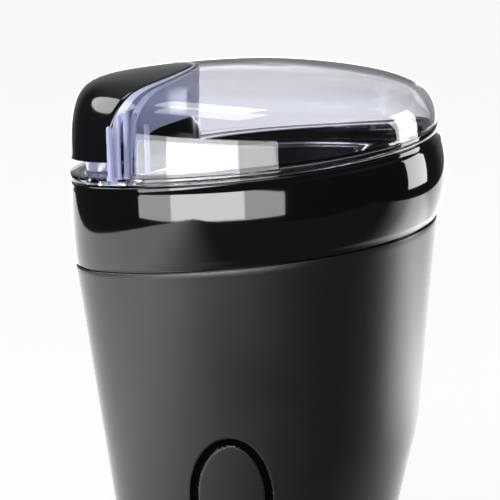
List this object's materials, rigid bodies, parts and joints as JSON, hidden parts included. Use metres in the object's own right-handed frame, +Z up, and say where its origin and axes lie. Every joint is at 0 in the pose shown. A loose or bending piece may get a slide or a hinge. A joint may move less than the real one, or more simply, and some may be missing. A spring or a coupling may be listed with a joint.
{
  "type": "electric spice grinder",
  "caption": "Oval electric blade grinder: tapered housing, bulged gloss collar, clear domed lid with a push button, steel bowl, blade and motor.",
  "frame": {"origin": "on the table, under the middle of the object's box", "axes": "+Z up, +X towards the rounded nose, so the button is at -X; the side that faces the viewer is at -Y"},
  "size_m": [0.1202, 0.0922, 0.1649],
  "materials": {
    "housing_satin": "satin, dark grey",
    "collar_gloss": "gloss black",
    "lid_clear": "clear, faint blue tint",
    "button_gloss": "gloss black",
    "spring_steel": "drawn wire",
    "deck_black": "satin black",
    "bowl_steel": "drawn stainless sheet",
    "seal_rubber": "matt",
    "blade_steel": "ground stainless",
    "nut_steel": "polished",
    "shaft_steel": "turned",
    "lamination_steel": "stacked sheet edges",
    "winding_copper": "enamelled copper wire",
    "commutator_copper": "turned copper",
    "fan_black": "moulded",
    "bearing_steel": "ground",
    "bracket_aluminium": "die cast",
    "holder_brass": "sheet",
    "carbon": "pressed graphite",
    "screw_steel": "zinc plated",
    "mount_rubber": "matt",
    "slide_white": "moulded",
    "switch_black": "moulded",
    "bracket_grey": "moulded",
    "base_black": "textured",
    "foot_rubber": "matt",
    "inlet_rubber": "matt"
  },
  "bodies": {
    "body": {"housing": "housing_satin", "collar": "collar_gloss", "bowl_deck": "deck_black", "grinding_bowl": "bowl_steel", "shaft_seal": "seal_rubber", "upper_bearing": "bearing_steel", "lower_bearing": "bearing_steel", "upper_bracket": "bracket_aluminium", "lower_bracket": "bracket_aluminium", "field_core": "lamination_steel", "field_coils": "winding_copper", "brush_holders": "holder_brass", "carbon_brushes": "carbon", "motor_screws": "screw_steel", "rubber_mounts": "mount_rubber", "slide_spring": "spring_steel", "micro_switch": "switch_black", "switch_bracket": "bracket_grey", "base_plate": "base_black", "base_screws": "screw_steel", "rubber_feet": "foot_rubber", "cord_inlet": "inlet_rubber"},
    "lid": {"lid_cover": "lid_clear", "button_spring": "spring_steel"},
    "button": {"push_button": "button_gloss"},
    "slide": {"switch_slide": "slide_white"},
    "rotor": {"motor_shaft": "shaft_steel", "armature_core": "lamination_steel", "armature_windings": "winding_copper", "commutator": "commutator_copper", "fan": "fan_black", "blade": "blade_steel", "blade_nut": "nut_steel"}
  },
  "joints": [
    {"name": "lid_lift", "type": "slide", "parent": "body", "child": "lid", "axis": [0, 0, 1], "range_m": [0, 0.06]},
    {"name": "button_press", "type": "slide", "parent": "lid", "child": "button", "axis": [0, 0, -1], "range_m": [0, 0.004], "stiffness_N_per_m": 500, "springref_m": -0.004, "deforming": ["button_spring"]},
    {"name": "slide_press", "type": "slide", "parent": "body", "child": "slide", "axis": [0, 0, -1], "range_m": [0, 0.004], "stiffness_N_per_m": 300, "springref_m": -0.003, "deforming": ["slide_spring"]},
    {"name": "rotor_spin", "type": "hinge", "parent": "body", "child": "rotor", "pos_m": [0.0147, 0, 0.07], "axis": [0, 0, 1], "continuous": true}
  ],
  "couplings": [
    {"joint": "slide_press", "follows": "button_press", "ratio": 1}
  ]
}
